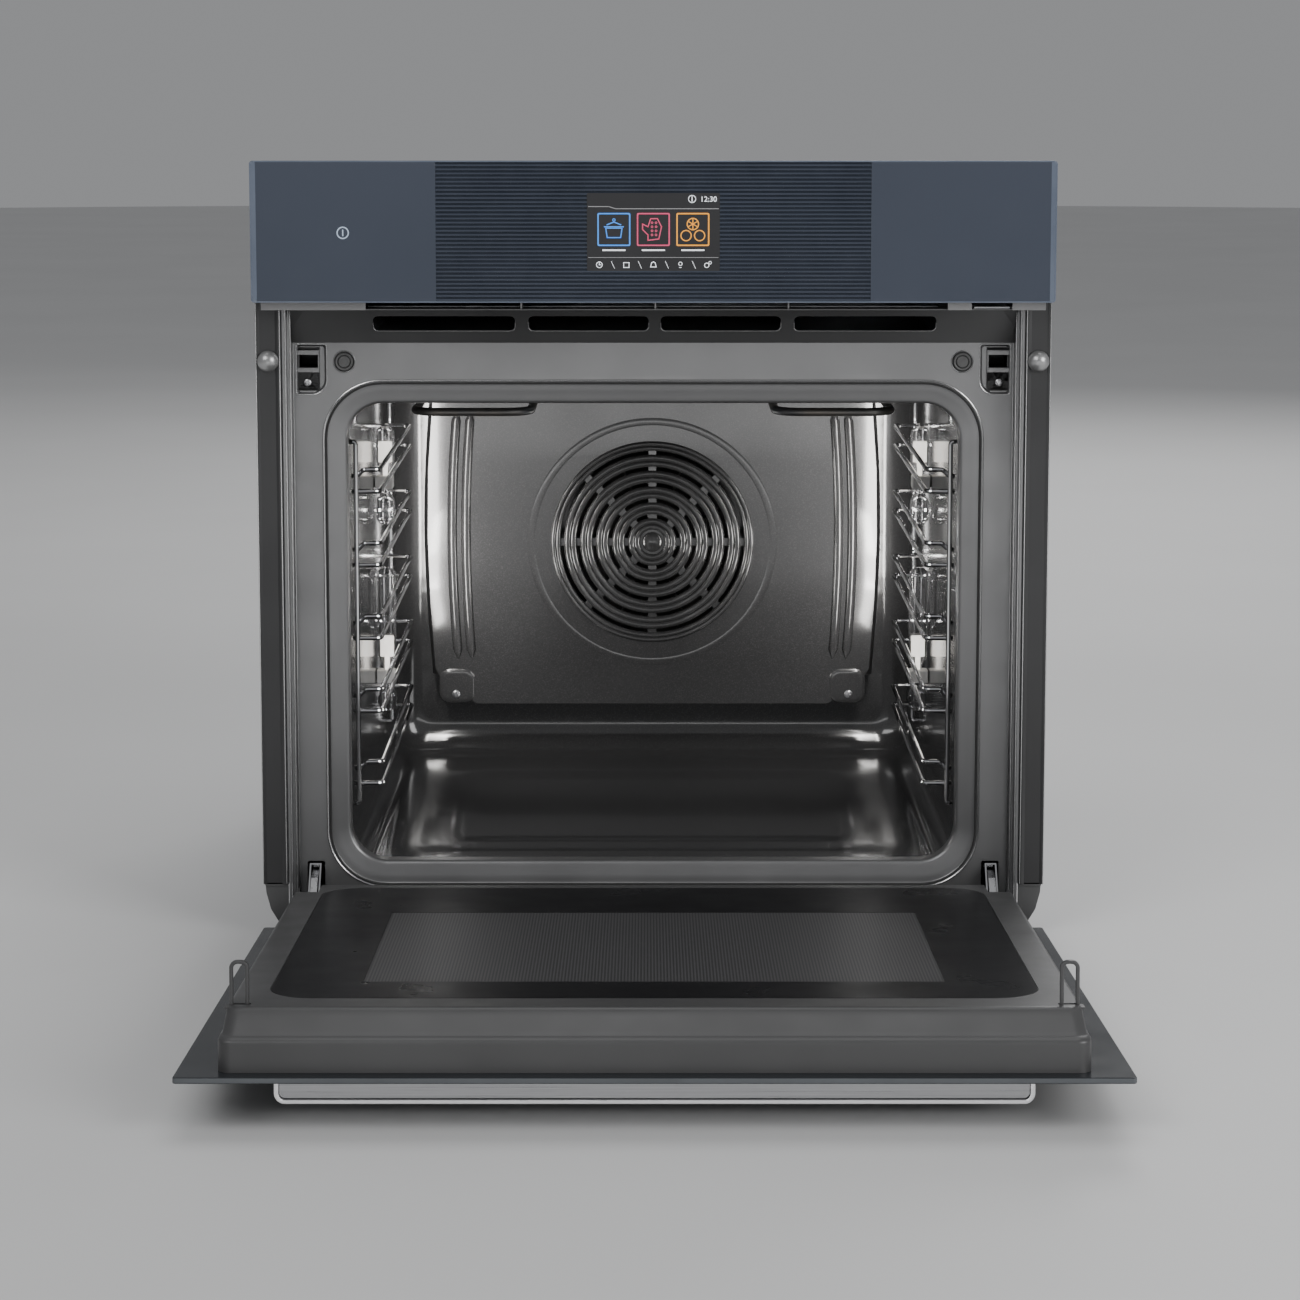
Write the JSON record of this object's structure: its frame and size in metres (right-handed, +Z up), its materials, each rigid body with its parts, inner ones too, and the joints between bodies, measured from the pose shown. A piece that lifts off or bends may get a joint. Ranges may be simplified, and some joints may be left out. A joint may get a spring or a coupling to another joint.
{
  "type": "built-in wall oven",
  "caption": "Built-in 60 cm electric oven with its drop-down door open, a glass touch control panel, fan-assisted cavity, side racks and lamps.",
  "frame": {"origin": "centre of the base pan underside", "axes": "+X to the right seen from the front, +Y into the cabinet, +Z up"},
  "size_m": [0.597, 0.9994, 0.592],
  "materials": {
    "panel_glass": "gloss",
    "dark_glass": "gloss",
    "clear_glass": "gloss",
    "enamel_grey": "satin",
    "enamel_dark": "gloss",
    "zinc_steel": "satin",
    "brushed_steel": "brushed",
    "chrome": "polished",
    "heater_steel": "satin",
    "aluminium": "satin",
    "seal_rubber": "matte",
    "black_plastic": "matte",
    "circuit": "satin",
    "display_module": "gloss",
    "ceramic": "satin",
    "mineral_wool": "matte"
  },
  "bodies": {
    "root": {"base_pan": "zinc_steel", "side_panels": "zinc_steel", "top_cover": "zinc_steel", "rear_cover": "zinc_steel", "top_deck": "zinc_steel", "panel_frame": "zinc_steel", "panel_carrier": "zinc_steel", "air_duct": "zinc_steel", "blower_housing": "zinc_steel", "catch_receivers": "zinc_steel", "hinge_receptacles": "zinc_steel", "hinge_arms": "zinc_steel", "front_frame": "enamel_grey", "side_trims": "enamel_grey", "vent_strip": "enamel_grey", "cavity_wrap": "enamel_dark", "cavity_back": "enamel_dark", "fan_cover": "enamel_dark", "insulation": "mineral_wool", "door_seal": "seal_rubber", "frame_buffers": "seal_rubber", "fixing_covers": "chrome", "rack_left": "chrome", "rack_right": "chrome", "fixing_screws": "zinc_steel", "small_screws": "zinc_steel", "temperature_probe": "zinc_steel", "ring_heater": "heater_steel", "grill_element": "heater_steel", "bottom_element": "heater_steel", "fan_motor": "heater_steel", "blower_motor": "heater_steel", "lamp_holders": "ceramic", "lamp_covers": "clear_glass", "lamp_bulbs": "clear_glass", "control_glass": "panel_glass", "touch_display": "display_module", "circuit_boards": "circuit", "lock_motor": "black_plastic", "terminal_box": "black_plastic", "cable_gland": "black_plastic"},
    "door": {"door_outer_glass": "dark_glass", "door_inner_frame": "enamel_grey", "door_inner_glass": "dark_glass", "door_middle_panes": "clear_glass", "pane_spacers": "seal_rubber", "catch_loops": "zinc_steel", "handle_bar": "brushed_steel", "handle_web": "brushed_steel", "handle_screws": "zinc_steel", "hinge_channels": "zinc_steel", "hinge_pins": "zinc_steel", "hinge_springs": "zinc_steel"},
    "hinge_rods": {"hinge_rods": "zinc_steel"},
    "hinge_clip_left": {"hinge_clip_left": "chrome"},
    "hinge_clip_right": {"hinge_clip_right": "chrome"},
    "convection_fan": {"convection_fan": "aluminium", "fan_shaft": "zinc_steel"},
    "cooling_blower": {"blower_wheel": "aluminium"},
    "lock_bolt": {"door_lock_bolt": "zinc_steel"}
  },
  "joints": [
    {"name": "door_hinge", "type": "hinge", "parent": "root", "child": "door", "pos_m": [0, -0.27205, 0.017], "axis": [-1, 0, 0], "range_deg": [0, 86]},
    {"name": "rod_slide", "type": "slide", "parent": "door", "child": "hinge_rods", "axis": [0, -0.9976, 0.0698], "range_m": [0, 0.014], "deforming": ["hinge_springs"]},
    {"name": "clip_left_swing", "type": "hinge", "parent": "root", "child": "hinge_clip_left", "pos_m": [-0.26, -0.262, 0.03], "axis": [1, 0, 0], "range_deg": [0, 70]},
    {"name": "clip_right_swing", "type": "hinge", "parent": "root", "child": "hinge_clip_right", "pos_m": [0.26, -0.262, 0.03], "axis": [1, 0, 0], "range_deg": [0, 70]},
    {"name": "fan_spin", "type": "hinge", "parent": "root", "child": "convection_fan", "pos_m": [0, 0.1675, 0.244], "axis": [0, 1, 0], "continuous": true},
    {"name": "blower_spin", "type": "hinge", "parent": "root", "child": "cooling_blower", "pos_m": [0, 0.1755, 0.499], "axis": [1, 0, 0], "continuous": true},
    {"name": "bolt_slide", "type": "slide", "parent": "root", "child": "lock_bolt", "axis": [0, 0, -1], "range_m": [0, 0.012]}
  ],
  "couplings": [
    {"joint": "rod_slide", "follows": "door_hinge", "m_per_rad": 0.009326}
  ]
}
